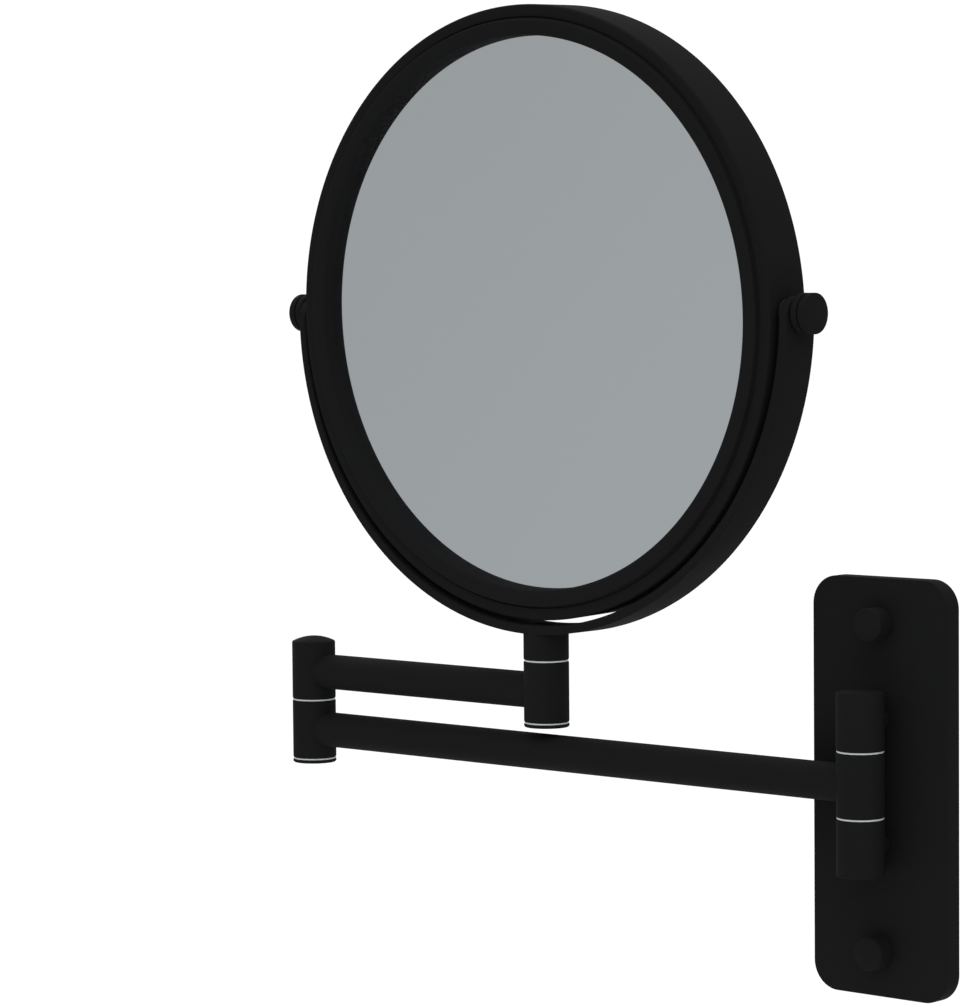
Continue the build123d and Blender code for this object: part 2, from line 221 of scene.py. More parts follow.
def turn(name: str, outline: list[Point], steps: int = 64, closed: bool = False) -> bpy.types.Object:
    """Turn an outline about the upright axis, as on a lathe.

    Args:
        name: Name of the piece.
        outline: Radius and height of each point, in millimetres; both ends on the axis unless closed.
        steps: Steps round the full turn.
        closed: True for a ring, whose outline joins up away from the axis.

    Returns:
        The turned piece in object mode, about the origin.
    """
    piece = chain(name, outline, closed)
    bpy.ops.mesh.select_all(action="SELECT")
    bpy.ops.mesh.spin(steps=steps, angle=FULL_TURN, center=(0, 0, 0), axis=(0, 0, 1))
    tidy_mesh(piece)
    return piece


def put(piece: bpy.types.Object, place: Vector, facing: Direction = Direction.UP) -> bpy.types.Object:
    """Turn a piece, move it to its place and bake both into its mesh.

    Args:
        piece: The piece, modelled about the origin.
        place: Where its origin goes, in metres.
        facing: Which way its own axis points.

    Returns:
        The same piece.
    """
    pick(piece)
    piece.rotation_euler = facing.value
    piece.location = place
    bpy.ops.object.transform_apply(location=True, rotation=True, scale=True)
    return piece


def copies(pattern: bpy.types.Object, names: list[str]) -> list[bpy.types.Object]:
    """Copy a piece that repeats, each copy with its own mesh, and scrap the pattern.

    Args:
        pattern: The piece, modelled about the origin.
        names: Name of each copy.

    Returns:
        The copies, still about the origin.
    """
    made = []
    for name in names:
        pick(pattern)
        bpy.ops.object.duplicate(linked=False)
        bpy.context.object.name = name
        made.append(bpy.context.object)
    bpy.data.objects.remove(pattern, do_unlink=True)
    return made


def smooth(piece: bpy.types.Object, angle: float = 32.0) -> None:
    """Shade a piece smooth, up to a break angle in degrees."""
    pick(piece)
    bpy.ops.object.shade_smooth_by_angle(angle=math.radians(angle))


def carve(piece: bpy.types.Object, tool: bpy.types.Object, cut: Cut = Cut.AWAY) -> None:
    """Cut a piece with a tool body and remove the tool.

    Args:
        piece: The piece to cut.
        tool: The body that cuts it.
        cut: Whether the tool's space is cut away or is all that stays.
    """
    pick(piece)
    modifier = piece.modifiers.new("cut", "BOOLEAN")
    modifier.operation = cut.value
    modifier.solver = "EXACT"
    modifier.object = tool
    bpy.ops.object.modifier_apply(modifier=modifier.name)
    bpy.data.objects.remove(tool, do_unlink=True)


def bar(
    name: str,
    radius: float,
    start: Vector,
    length: float,
    facing: Direction,
    sides: int = 64,
    skew: float = 0.0,
) -> bpy.types.Object:
    """Plain tool body, round or with a few sides, used only to cut other pieces.

    Args:
        name: Name of the tool.
        radius: Radius, in millimetres.
        start: Centre of its first end, in metres.
        length: Length along its axis, in millimetres.
        facing: Which way it runs.
        sides: Number of sides.
        skew: Turn about its own axis, in degrees, so that its corners miss the edges of what it cuts.

    Returns:
        The tool body, whose ends are one face each.
    """
    tool = turn(name, [(0, 0), (radius, 0), (radius, length), (0, length)], sides)
    pick(tool)
    bpy.ops.object.mode_set(mode="EDIT")
    bpy.ops.mesh.select_all(action="SELECT")
    bpy.ops.mesh.dissolve_limited(angle_limit=SAME_PLANE)
    bpy.ops.transform.rotate(value=math.radians(skew), orient_axis="Z", center_override=(0, 0, 0))
    bpy.ops.object.mode_set(mode="OBJECT")
    return put(tool, start, facing)


@dataclass(frozen=True)
class Finish:
    """One procedural surface finish: its colour pair, gloss and fine relief."""

    name: str
    slot: Slot
    dark: Triple
    light: Triple
    metallic: float = 0.0
    roughness: Pair = (0.5, 0.6)
    specular: float = 0.5
    patch_scale: float = 40.0
    grain_scale: float = 900.0
    grain_depth: float = 0.02
    grain_strength: float = 0.1
    stretch: Triple = (1.0, 1.0, 1.0)
    anisotropic: float = 0.0
    subsurface: float = 0.0
    subsurface_depth: float = 1.5

    def make(self) -> bpy.types.Material:
        """Build the node material.

        Returns:
            The material, made once for each finish.
        """
        found = bpy.data.materials.get(self.name)
        if found:
            return found
        material = bpy.data.materials.new(self.name)
        material.use_nodes = True
        nodes, links = material.node_tree.nodes, material.node_tree.links
        shader = nodes["Principled BSDF"]
        shader.inputs["Metallic"].default_value = self.metallic
        shader.inputs["Specular IOR Level"].default_value = self.specular
        shader.inputs["Anisotropic"].default_value = self.anisotropic
        shader.inputs["Subsurface Weight"].default_value = self.subsurface
        shader.inputs["Subsurface Scale"].default_value = self.subsurface_depth * MM
        where = nodes.new("ShaderNodeTexCoord")
        mapping = nodes.new("ShaderNodeMapping")
        mapping.inputs["Scale"].default_value = self.stretch
        links.new(where.outputs["Object"], mapping.inputs["Vector"])
        patches = self.noise(nodes, links, mapping, self.patch_scale, detail=3.0)
        grain = self.noise(nodes, links, mapping, self.grain_scale, detail=2.0)
        colour = nodes.new("ShaderNodeMix")
        colour.data_type = "RGBA"
        colour.inputs["A"].default_value = (*self.dark, 1.0)
        colour.inputs["B"].default_value = (*self.light, 1.0)
        links.new(patches.outputs["Fac"], colour.inputs["Factor"])
        links.new(colour.outputs["Result"], shader.inputs["Base Color"])
        gloss = nodes.new("ShaderNodeMapRange")
        gloss.inputs["From Min"].default_value = 0.3
        gloss.inputs["From Max"].default_value = 0.7
        gloss.inputs["To Min"].default_value = self.roughness[0]
        gloss.inputs["To Max"].default_value = self.roughness[1]
        links.new(patches.outputs["Fac"], gloss.inputs["Value"])
        links.new(gloss.outputs["Result"], shader.inputs["Roughness"])
        relief = nodes.new("ShaderNodeBump")
        relief.inputs["Distance"].default_value = self.grain_depth * MM
        relief.inputs["Strength"].default_value = self.grain_strength
        links.new(grain.outputs["Fac"], relief.inputs["Height"])
        links.new(relief.outputs["Normal"], shader.inputs["Normal"])
        return material

    @staticmethod
    def noise(
        nodes: bpy.types.Nodes,
        links: bpy.types.NodeLinks,
        mapping: bpy.types.Node,
        scale: float,
        detail: float,
    ) -> bpy.types.Node:
        """Noise on the piece's own coordinates.

        Args:
            nodes: The material's nodes.
            links: The material's links.
            mapping: Mapping node that feeds it.
            scale: Features per metre.
            detail: Levels of detail.

        Returns:
            The noise node.
        """
        node = nodes.new("ShaderNodeTexNoise")
        node.inputs["Scale"].default_value = scale
        node.inputs["Detail"].default_value = detail
        links.new(mapping.outputs["Vector"], node.inputs["Vector"])
        return node

    def dress(self, piece: bpy.types.Object) -> None:
        """Give the finish to a piece.

        Args:
            piece: A modelled piece or a CAD node.
        """
        piece.data.materials.clear()
        piece.data.materials.append(self.make())


POWDER_COAT = Finish(
    "black_powder_coat", Slot.BLACK, (0.0123, 0.0123, 0.0129), (0.0137, 0.0137, 0.0144),
    roughness=(0.74, 0.82), specular=0.045, patch_scale=55.0, grain_scale=1400.0, grain_depth=0.025,
    grain_strength=0.1,
)
SILVERING = Finish(
    "silvered_glass", Slot.GLASS, (0.86, 0.885, 0.90), (0.88, 0.90, 0.915), metallic=1.0,
    roughness=(0.035, 0.045), patch_scale=9.0, grain_scale=30.0, grain_depth=0.01, grain_strength=0.004,
)
NYLON = Finish(
    "natural_nylon", Slot.NYLON, (0.80, 0.80, 0.78), (0.90, 0.90, 0.88), roughness=(0.38, 0.5),
    specular=0.4, patch_scale=220.0, grain_scale=2200.0, grain_depth=0.02, grain_strength=0.15,
    subsurface=0.2,
)
TURNED_STEEL = Finish(
    "turned_steel", Slot.STEEL, (0.46, 0.46, 0.47), (0.60, 0.60, 0.61), metallic=1.0, roughness=(0.26, 0.38),
    patch_scale=160.0, grain_scale=700.0, grain_depth=0.02, grain_strength=0.2, stretch=(1.0, 1.0, 6.0),
    anisotropic=0.4,
)
BLACK_MOULDING = Finish(
    "black_moulding", Slot.PLASTIC, (0.018, 0.018, 0.018), (0.03, 0.03, 0.03), roughness=(0.45, 0.6),
    patch_scale=120.0, grain_scale=1500.0, grain_depth=0.03, grain_strength=0.2,
)


@dataclass
class SubAssembly:
    """Shared ways to place, dress and hand over the pieces of one moving body."""

    body: str

    def hand_over(self, piece: bpy.types.Object, finish: Finish, *nodes: str) -> bpy.types.Object:
        """Finish a modelled piece and let it stand for its CAD nodes.

        Args:
            piece: The piece, in place.
            finish: Its surface finish.
            nodes: The CAD nodes that it stands for.

        Returns:
            The same piece.
        """
        smooth(piece)
        finish.dress(piece)
        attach(piece, self.body)
        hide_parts(*nodes)
        LOG.info("%s: %d faces, rides on %s", piece.name, len(piece.data.polygons), self.body)
        return piece

    def keep(self, finish: Finish, *nodes: str) -> None:
        """Give CAD nodes that stay as they are their finish.

        Args:
            finish: The surface finish.
            nodes: Names of the nodes.
        """
        for node in nodes:
            finish.dress(frame["nodes"][node])
            LOG.info("%s: CAD node, finish %s", node, finish.name)


def foot(node: str) -> Vector:
    """Centre of the underside of a CAD node's box, in metres."""
    low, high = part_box(node)
    return Vector(((low.x + high.x) / 2, (low.y + high.y) / 2, low.z))


def span(node: str, axis: int) -> float:
    """Size of a CAD node's box along an axis, in millimetres."""
    low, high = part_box(node)
    return (high[axis] - low[axis]) / MM


@dataclass
class Barrels:
    """Outlines of the turned pieces that stack on the upright hinge axes, in millimetres."""

    radius: float = 7.94
    tube_wall: float = 1.25
    tube_run_in: float = 3.3
    edge: float = 0.45
    pin: float = 3.0
    bush: float = 4.5
    blind_bore: float = 12.4
    washer_bore: float = 3.1
    washer_edge: float = 0.15

    def hub(self, height: float, bore: float) -> list[Point]:
        """Outline of an open hub with softened ends.

        Args:
            height: Height of the hub.
            bore: Radius of its bore.

        Returns:
            A closed outline.
        """
        e = self.edge
        corners = arc((self.radius - e, e), e, -90, 0, 4) + arc((self.radius - e, height - e), e, 0, 90, 4)
        return [(bore, 0.0), *corners, (bore, height)]

    def domed(self, height: float, rise: float, bore: float, depth: float) -> list[Point]:
        """Outline of a hub closed by a dome, bored from below.

        Args:
            height: Height of the straight wall.
            rise: Rise of the dome.
            bore: Radius of the blind bore.
            depth: Depth of the bore.

        Returns:
            An outline from the bore's end round to the dome's top.
        """
        e = self.edge
        foot_round = arc((self.radius - e, e), e, -90, 0, 4)
        top = dome(self.radius - e / 2, height + e / 3, rise - e / 3, 14)
        return [(0.0, depth), (bore, depth), (bore, 0.0), *foot_round, (self.radius, height - e / 2), *top]

    def washer(self, outer: float, height: float, bore: float) -> list[Point]:
        """Outline of a thin washer with broken edges.

        Args:
            outer: Outer radius.
            height: Thickness.
            bore: Radius of its hole.

        Returns:
            A closed outline.
        """
        w = self.washer_edge
        rim = [(outer - w, 0.0), (outer, w), (outer, height - w), (outer - w, height)]
        return [(bore, 0.0), *rim, (bore, height)]


BARRELS = Barrels()


@dataclass
class HingeBolt:
    """Bolt with a full-width crowned head and a hexagon socket, put in from below. Millimetres."""

    head: float = 1.2
    crown: float = 0.4
    lip: float = 0.15
    tip: float = 0.4
    key: float = 3.0
    key_skew: float = 10.0
    socket_depth: float = 2.2

    def build(self, node: str) -> bpy.types.Object:
        """Model the bolt of a CAD node.

        Args:
            node: Name of the node that it stands for.

        Returns:
            The bolt, in place.
        """
        height = span(node, 2)
        seat = self.crown + self.head
        rim = BARRELS.radius - self.crown
        sole = [(r, self.crown - z) for r, z in reversed(dome(rim, 0.0, self.crown, 8))]
        outline = [*sole, (BARRELS.radius, 2 * self.crown), (BARRELS.radius, seat - self.lip)]
        outline += [(BARRELS.radius - self.lip, seat), (BARRELS.pin, seat), (BARRELS.pin, height - self.tip)]
        outline += [(BARRELS.pin - self.tip, height), (0.0, height)]
        bolt = put(turn(node + "_turned", outline, HINGE_STEPS), foot(node))
        corner = self.key / math.sqrt(3)
        lead = 1.0
        below = foot(node) - Vector((0, 0, lead * MM))
        carve(bolt, bar("key_tool", corner, below, lead + self.socket_depth, Direction.UP, 6, self.key_skew))
        return bolt


class HingeStock:
    """The thrust washer and the open hub that the hinges share, modelled once and copied to their places."""

    def __init__(self) -> None:
        """Model both at the size of their CAD nodes and copy them for all hinges."""
        washers = ("bracket_upper_washer", "bracket_lower_washer", "elbow_washer", "elbow_bottom_washer")
        washers += ("swivel_washer", "swivel_bottom_washer")
        hubs = ("bracket_hub", "elbow_lower_hub", "mirror_hub")
        rim, thickness = span(washers[0], 0) / 2, span(washers[0], 2)
        outline = BARRELS.washer(rim, thickness, BARRELS.washer_bore)
        pattern = turn("washer_pattern", outline, HINGE_STEPS, closed=True)
        self.shelf = dict(zip(washers, copies(pattern, [node + "_stamped" for node in washers])))
        outline = BARRELS.hub(span(hubs[0], 2), BARRELS.bush)
        pattern = turn("hub_pattern", outline, HINGE_STEPS, closed=True)
        self.shelf |= zip(hubs, copies(pattern, [node + "_turned" for node in hubs]))

    def washers(self, owner: SubAssembly, *nodes: str) -> None:
        """Put thin nylon washers on their upright axis.

        Args:
            owner: The sub-assembly that they ride with.
            nodes: The CAD nodes that they stand for.
        """
        for node in nodes:
            owner.hand_over(put(self.shelf[node], foot(node)), NYLON, node)

    def hub(self, owner: SubAssembly, node: str, axis_x: float) -> None:
        """Put one open hub on its hinge axis. Its spigot would be hidden inside the tube and isn't modelled.

        Args:
            owner: The sub-assembly that it rides with.
            node: The CAD node that it stands for.
            axis_x: X of the hinge axis, in metres.
        """
        place = foot(node)
        place.x = axis_x
        owner.hand_over(put(self.shelf[node], place), POWDER_COAT, node)


@dataclass
class WallBracket(SubAssembly):
    """Wall plate, cap nuts and the two fixed knuckles. Millimetres."""

    body: str = "wall_bracket"
    corner: float = 9.5
    edge: float = 0.5
    stud_hole: float = 2.75
    stud_spacing: float = 108.0
    screw_hole: float = 2.0
    screw_sink: float = 4.1
    nut_radius: float = 5.5
    nut_edge: float = 0.7
    nut_lip: float = 0.15
    nut_crown: float = 0.8
    nut_bore: float = 2.4
    nut_bore_depth: float = 5.2
    knuckle_crown: float = 0.6
    head_room: float = 5.25
    head_room_depth: float = 3.4
    head_room_chamfer: float = 0.2

    def plate(self) -> None:
        """Model the plate from a flat blank: round it, draw it out, soften its front edge and drill it."""
        low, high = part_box("wall_plate")
        deselect()
        bpy.ops.mesh.primitive_plane_add(size=1.0, location=(0, 0, 0))
        plate = bpy.context.object
        plate.name = "wall_plate_pressed"
        plate.scale = (high.x - low.x, high.z - low.z, 1.0)
        bpy.ops.object.transform_apply(location=True, rotation=True, scale=True)
        bpy.ops.object.mode_set(mode="EDIT")
        bpy.ops.mesh.select_all(action="SELECT")
        bpy.ops.mesh.bevel(offset=self.corner * MM, segments=20, affect="VERTICES")
        bpy.ops.mesh.select_all(action="SELECT")
        thickness = high.y - low.y
        bpy.ops.mesh.extrude_region_move(TRANSFORM_OT_translate={"value": (0, 0, thickness)})
        select_faces(plate, lambda face: face.normal.z > 0.9 and face.center.z > thickness / 2)
        bpy.ops.mesh.region_to_loop()
        bpy.ops.mesh.bevel(offset=self.edge * MM, segments=5, affect="EDGES")
        tidy_mesh(plate)
        put(plate, Vector((0, 0, 0)), Direction.ROOM)
        self.drill(plate)
        self.hand_over(plate, POWDER_COAT, "wall_plate")

    def drill(self, plate: bpy.types.Object) -> None:
        """Drill the stud holes and the countersunk holes of the post screws.

        Args:
            plate: The plate, in place.
        """
        lead, through = 1.0, 20.0
        for sign in (-1, 1):
            start = Vector((0, lead * MM, sign * self.stud_spacing / 2 * MM))
            carve(plate, bar("stud_tool", self.stud_hole, start, through, Direction.ROOM))
        hole, wide = self.screw_hole, self.screw_sink
        sink = [(0, -lead), (wide + lead, -lead), (hole, wide - hole), (hole, through), (0, through)]
        for post in ("upper_post", "lower_post"):
            low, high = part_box(post)
            middle = Vector((0, 0, (low.z + high.z) / 2))
            carve(plate, put(turn("sink_tool", sink), middle, Direction.ROOM))

    def cap_nuts(self) -> None:
        """Model a round cap nut with a domed face and a blind bore, and copy it to both studs."""
        nodes = ["upper_cap_nut", "lower_cap_nut"]
        length = span(nodes[0], 1) - self.nut_crown
        r, e, lip = self.nut_radius, self.nut_edge, self.nut_lip
        outline = [(0.0, self.nut_bore_depth), (self.nut_bore, self.nut_bore_depth), (self.nut_bore, 0.0)]
        outline += [(r - lip, 0.0), (r, lip), *arc((r - e, length - e), e, 0, 80, 6)]
        outline += dome(r - e, length, self.nut_crown, 10)
        pattern = turn("nut_pattern", outline, HINGE_STEPS)
        for node, nut in zip(nodes, copies(pattern, [node + "_turned" for node in nodes])):
            low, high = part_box(node)
            seat = Vector((0, high.y, (low.z + high.z) / 2))
            self.hand_over(put(nut, seat, Direction.ROOM), POWDER_COAT, node)

    def knuckles(self) -> None:
        """Model the crowned upper knuckle and the lower one with room for the pin's head."""
        straight = span("upper_knuckle", 2) - self.knuckle_crown
        upper = BARRELS.domed(straight, self.knuckle_crown, BARRELS.pin, BARRELS.blind_bore)
        piece = put(turn("upper_knuckle_turned", upper, HINGE_STEPS), foot("upper_knuckle"))
        self.hand_over(piece, POWDER_COAT, "upper_knuckle")
        room, depth, chamfer = self.head_room, self.head_room_depth, self.head_room_chamfer
        lower = [(BARRELS.pin, depth), (room, depth), (room, chamfer), (room + chamfer, 0.0)]
        lower += BARRELS.hub(span("lower_knuckle", 2), BARRELS.pin)[1:]
        piece = put(turn("lower_knuckle_turned", lower, HINGE_STEPS, closed=True), foot("lower_knuckle"))
        self.hand_over(piece, POWDER_COAT, "lower_knuckle")

    def build(self, stock: HingeStock) -> None:
        """Build and dress every piece of the wall bracket.

        Args:
            stock: The hinges' shared washers and hubs.
        """
        self.plate()
        self.cap_nuts()
        self.knuckles()
        stock.washers(self, "bracket_upper_washer", "bracket_lower_washer")
        self.keep(POWDER_COAT, "upper_post", "lower_post")
        self.keep(TURNED_STEEL, "bracket_pin", "post_screws")


def arm_tube(owner: SubAssembly, node: str, left: float, right: float) -> None:
    """Model one arm tube between two hub axes, run into the hubs as it is brazed.

    Args:
        owner: The sub-assembly that it rides with.
        node: The CAD node that it stands for.
        left: X of the left hub's axis, in metres.
        right: X of the right hub's axis, in metres.
    """
    low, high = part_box(node)
    radius = (high.z - low.z) / 2 / MM
    inset = BARRELS.radius - BARRELS.tube_run_in
    length = (right - left) / MM - 2 * inset
    inner = radius - BARRELS.tube_wall
    outline = [(inner, 0.0), (radius, 0.0), (radius, length), (inner, length)]
    tube = turn(node + "_drawn", outline, HINGE_STEPS, closed=True)
    start = Vector((left + inset * MM, (low.y + high.y) / 2, (low.z + high.z) / 2))
    owner.hand_over(put(tube, start, Direction.RIGHT), POWDER_COAT, node)


@dataclass
class LongArm(SubAssembly):
    """Arm from the wall bracket to the elbow."""

    body: str = "long_arm"

    def build(self, stock: HingeStock) -> None:
        """Build and dress every piece of the long arm.

        Args:
            stock: The hinges' shared washers and hubs.
        """
        elbow = foot("elbow_bush").x
        stock.hub(self, "bracket_hub", 0.0)
        stock.hub(self, "elbow_lower_hub", elbow)
        arm_tube(self, "long_arm_tube", elbow, 0.0)
        stock.washers(self, "elbow_washer", "elbow_bottom_washer")
        self.keep(NYLON, "bracket_bush", "elbow_bush")


@dataclass
class ShortArm(SubAssembly):
    """Arm from the elbow to the mirror's stem. Millimetres."""

    body: str = "short_arm"
    dome_rise: float = 2.0

    def build(self, stock: HingeStock) -> None:
        """Build and dress every piece of the short arm.

        Args:
            stock: The hinges' shared washers and hubs.
        """
        elbow, stem = foot("elbow_bush").x, foot("swivel_bush").x
        place = foot("elbow_upper_hub")
        place.x = elbow
        straight = span("elbow_upper_hub", 2) - self.dome_rise
        outline = BARRELS.domed(straight, self.dome_rise, BARRELS.pin, BARRELS.blind_bore)
        hub = put(turn("elbow_upper_hub_turned", outline, HINGE_STEPS), place)
        self.hand_over(hub, POWDER_COAT, "elbow_upper_hub")
        stock.hub(self, "mirror_hub", stem)
        arm_tube(self, "short_arm_tube", elbow, stem)
        self.hand_over(HingeBolt().build("elbow_bolt"), POWDER_COAT, "elbow_bolt")
        self.keep(NYLON, "swivel_bush")


@dataclass
class Yoke(SubAssembly):
    """Stem and half-round strip that carry the mirror. Millimetres."""

    body: str = "yoke"
    thickness: float = 3.2
    edge: float = 0.7
    end_drop: float = 2.3
    stud_hole: float = 2.5
    screw_hole: float = 2.02
    screw_sink: float = 4.02
    sink_depth: float = 0.1
    stem_bore_depth: float = 4.6
    stem_bore_cone: float = 0.1
    stem_run_in: float = 0.9

    def strip(self, pivot: Vector) -> None:
        """Model the strip as a hoop, cut to half with round ends and drilled.

        Args:
            pivot: Centre of the tilt axis, in metres.
        """
        radius = span("yoke_arch", 0) / 2
        half = span("yoke_arch", 1) / 2
        inner, e = radius - self.thickness, self.edge
        outline = arc((radius - e, -half + e), e, -90, 0, 4) + arc((radius - e, half - e), e, 0, 90, 4)
        outline += arc((inner + e, half - e), e, 90, 180, 4) + arc((inner + e, -half + e), e, 180, 270, 4)
        hoop = put(turn("yoke_arch_rolled", outline, 288, closed=True), pivot, Direction.ROOM)
        drop = pivot - Vector((0, 0, self.end_drop * MM))
        reach = 2 * radius
        aside = Vector((reach * MM, 0, 0))
        capsule = bar("end_tool", half, drop - aside, 2 * reach, Direction.RIGHT, HINGE_STEPS)
        pick(capsule)
        bpy.ops.object.mode_set(mode="EDIT")
        select_faces(capsule, lambda face: face.normal.z < -0.01 and abs(face.normal.x) < 0.5)
        bpy.ops.mesh.extrude_region_move(TRANSFORM_OT_translate={"value": (0, 0, -reach * MM)})
        tidy_mesh(capsule)
        carve(hoop, capsule, Cut.WITHIN)
        carve(hoop, bar("stud_tool", self.stud_hole, pivot - aside, 2 * reach, Direction.RIGHT))
        hole, wide, below, above = self.screw_hole, self.screw_sink, -6.0, 3.0
        sink = [(0, below), (hole, below), (hole, hole - wide), (wide, 0.0), (wide, above), (0, above)]
        carve(hoop, put(turn("sink_tool", sink), pivot - Vector((0, 0, (inner + self.sink_depth) * MM))))
        self.hand_over(hoop, POWDER_COAT, "yoke_arch")

    def stem(self, pivot: Vector) -> None:
        """Model the stem and run its top up into the strip's round underside.

        Args:
            pivot: Centre of the tilt axis, in metres.
        """
        base = foot("stem_hub")
        height = (pivot.z - base.z) / MM - span("yoke_arch", 0) / 2 + self.stem_run_in
        e, depth = BARRELS.edge, self.stem_bore_depth
        outline = [(BARRELS.pin, depth), (BARRELS.pin, 0.0), *arc((BARRELS.radius - e, e), e, -90, 0, 4)]
        outline += [(BARRELS.radius, height), (self.screw_hole, height)]
        outline += [(self.screw_hole, depth + self.stem_bore_cone)]
        stem = put(turn("stem_hub_turned", outline, HINGE_STEPS, closed=True), base)
        self.hand_over(stem, POWDER_COAT, "stem_hub")

    def build(self, pivot: Vector, stock: HingeStock) -> None:
        """Build and dress every piece of the yoke.

        Args:
            pivot: Centre of the tilt axis, in metres.
            stock: The hinges' shared washers and hubs.
        """
        self.strip(pivot)
        self.stem(pivot)
        stock.washers(self, "swivel_washer", "swivel_bottom_washer")
        self.hand_over(HingeBolt().build("swivel_bolt"), POWDER_COAT, "swivel_bolt")
        self.keep(POWDER_COAT, "stem_screw")


@dataclass
class MirrorHead(SubAssembly):
    """Ring, bezels and the two glasses. Millimetres, drawn as radius and depth towards the front."""

    body: str = "mirror"
    lean: float = 1.6
    ring_radius: float = 106.1
    ring_inner: float = 101.7
    ring_face: float = 9.9
    ring_edge: float = 0.95
    ring_chamfer: float = 0.3
    spot_radius: float = 5.3
    spot_depth: float = 0.3
    tap_radius: float = 2.45
    bezel_inner: float = 95.5
    bezel_play: float = 0.02
    bezel_crest: float = 11.5
    bezel_inner_edge: float = 1.4
    bezel_outer_edge: float = 0.8
    groove: float = 0.5
    glass_radius: float = 101.4
    glass_face: float = 6.1
    glass_thickness: float = 3.0
    glass_bevel: float = 0.35
    bowl_radius: float = 900.0
    bowl_steps: int = 24
    steps: int = 288

    def stand(self, piece: bpy.types.Object, pivot: Vector, front: bool = True) -> bpy.types.Object:
        """Turn a piece to face the room, or the wall, lean it forward and put it in the yoke.

        Args:
            piece: The piece, turned about the upright axis with its front upwards.
            pivot: Centre of the tilt axis, in metres.
            front: True if its own axis points to the room.

        Returns:
            The same piece.
        """
        put(piece, Vector((0, 0, 0)), Direction.ROOM if front else Direction.WALL)
        pick(piece)
        piece.rotation_euler = (math.radians(self.lean), 0, 0)
        piece.location = pivot
        bpy.ops.object.transform_apply(location=True, rotation=True, scale=True)
        return piece

    def ring(self, pivot: Vector) -> None:
        """Model the ring and drill and spot-face it at the pivots.

        Args:
            pivot: Centre of the tilt axis, in metres.
        """
        e, c, face = self.ring_edge, self.ring_chamfer, self.ring_face
        outline = arc((self.ring_radius - e, -face + e), e, -90, 0, 6)
        outline += arc((self.ring_radius - e, face - e), e, 0, 90, 6)
        outline += [(self.ring_inner + c, face), (self.ring_inner, face - c)]
        outline += [(self.ring_inner, c - face), (self.ring_inner + c, -face)]
        ring = self.stand(turn("mirror_ring_turned", outline, self.steps, closed=True), pivot)
        inside, beyond, through = 95.0, 5.0, 20.0
        for side in Side:
            seat = pivot + Vector((side.value * (self.ring_radius - self.spot_depth) * MM, 0, 0))
            start = pivot + Vector((side.value * inside * MM, 0, 0))
            carve(ring, bar("spot_tool", self.spot_radius, seat, beyond, side.outward))
            carve(ring, bar("tap_tool", self.tap_radius, start, through, side.outward))
        self.hand_over(ring, POWDER_COAT, "mirror_ring")

    def bezels(self, pivot: Vector) -> None:
        """Model a retaining bezel with its flat bead and outer groove, and copy it to both faces.

        Args:
            pivot: Centre of the tilt axis, in metres.
        """
        outer = self.ring_inner - self.bezel_play
        flank = outer - self.groove
        i, o, crest = self.bezel_inner_edge, self.bezel_outer_edge, self.bezel_crest
        outline = [(self.bezel_inner, self.glass_face), (outer, self.glass_face)]
        outline += [(outer, self.ring_face - self.groove), (flank, self.ring_face)]
        outline += arc((flank - o, crest - o), o, 0, 90, 6)
        outline += arc((self.bezel_inner + i, crest - i), i, 90, 180, 8)
        pattern = turn("bezel_pattern", outline, self.steps, closed=True)
        front, back = copies(pattern, ["front_bezel_turned", "back_bezel_turned"])
        self.hand_over(self.stand(front, pivot), POWDER_COAT, "front_bezel")
        self.hand_over(self.stand(back, pivot, front=False), POWDER_COAT, "back_bezel")

    def glasses(self, pivot: Vector) -> None:
        """Model the flat glass and the slumped magnifying glass, with ground edges.

        Args:
            pivot: Centre of the tilt axis, in metres.
        """
        r, t, b = self.glass_radius, self.glass_thickness, self.glass_bevel
        back, face = self.glass_face - t, self.glass_face
        outline = [(0, back), (r - b, back), (r, back + b), (r, face - b), (r - b, face), (0, face)]
        flat = self.stand(turn("plain_glass_ground", outline, self.steps), pivot)
        self.hand_over(flat, SILVERING, "plain_glass")
        radii = [r * step / self.bowl_steps for step in range(self.bowl_steps + 1)]
        bowl = [(x, face - self.sagitta(r) + self.sagitta(x)) for x in radii]
        hollow = [(x, z - t) for x, z in bowl]
        bowl[-1] = (r - b, bowl[-1][1])
        outline = [*hollow, (r, face - b), *reversed(bowl)]
        deep = self.stand(turn("magnifying_glass_slumped", outline, self.steps), pivot, front=False)
        self.hand_over(deep, SILVERING, "magnifying_glass")

    def sagitta(self, radius: float) -> float:
        """Depth of the magnifying bowl at a radius."""
        return self.bowl_radius - math.sqrt(self.bowl_radius**2 - radius**2)

    def pivot_washers(self, pivot: Vector) -> None:
        """Model the black washer between the ring and the yoke, and copy it to both ends.

        Args:
            pivot: Centre of the tilt axis, in metres.
        """
        nodes = {side: side.of("pivot_washer") for side in Side}
        size = nodes[Side.RIGHT]
        outline = BARRELS.washer(span(size, 2) / 2, span(size, 0), self.tap_radius)
        pattern = turn("pivot_washer_pattern", outline, 64, closed=True)
        made = copies(pattern, [node + "_stamped" for node in nodes.values()])
        for (side, node), washer in zip(nodes.items(), made):
            put(washer, Vector((side.inner_x(node), pivot.y, pivot.z)), side.outward)
            self.hand_over(washer, BLACK_MOULDING, node)

    def build(self, pivot: Vector) -> None:
        """Build and dress every piece of the mirror.

        Args:
            pivot: Centre of the tilt axis, in metres.
        """
        self.ring(pivot)
        self.bezels(pivot)
        self.glasses(pivot)
        self.pivot_washers(pivot)
        self.keep(BLACK_MOULDING, "spacer_ring")


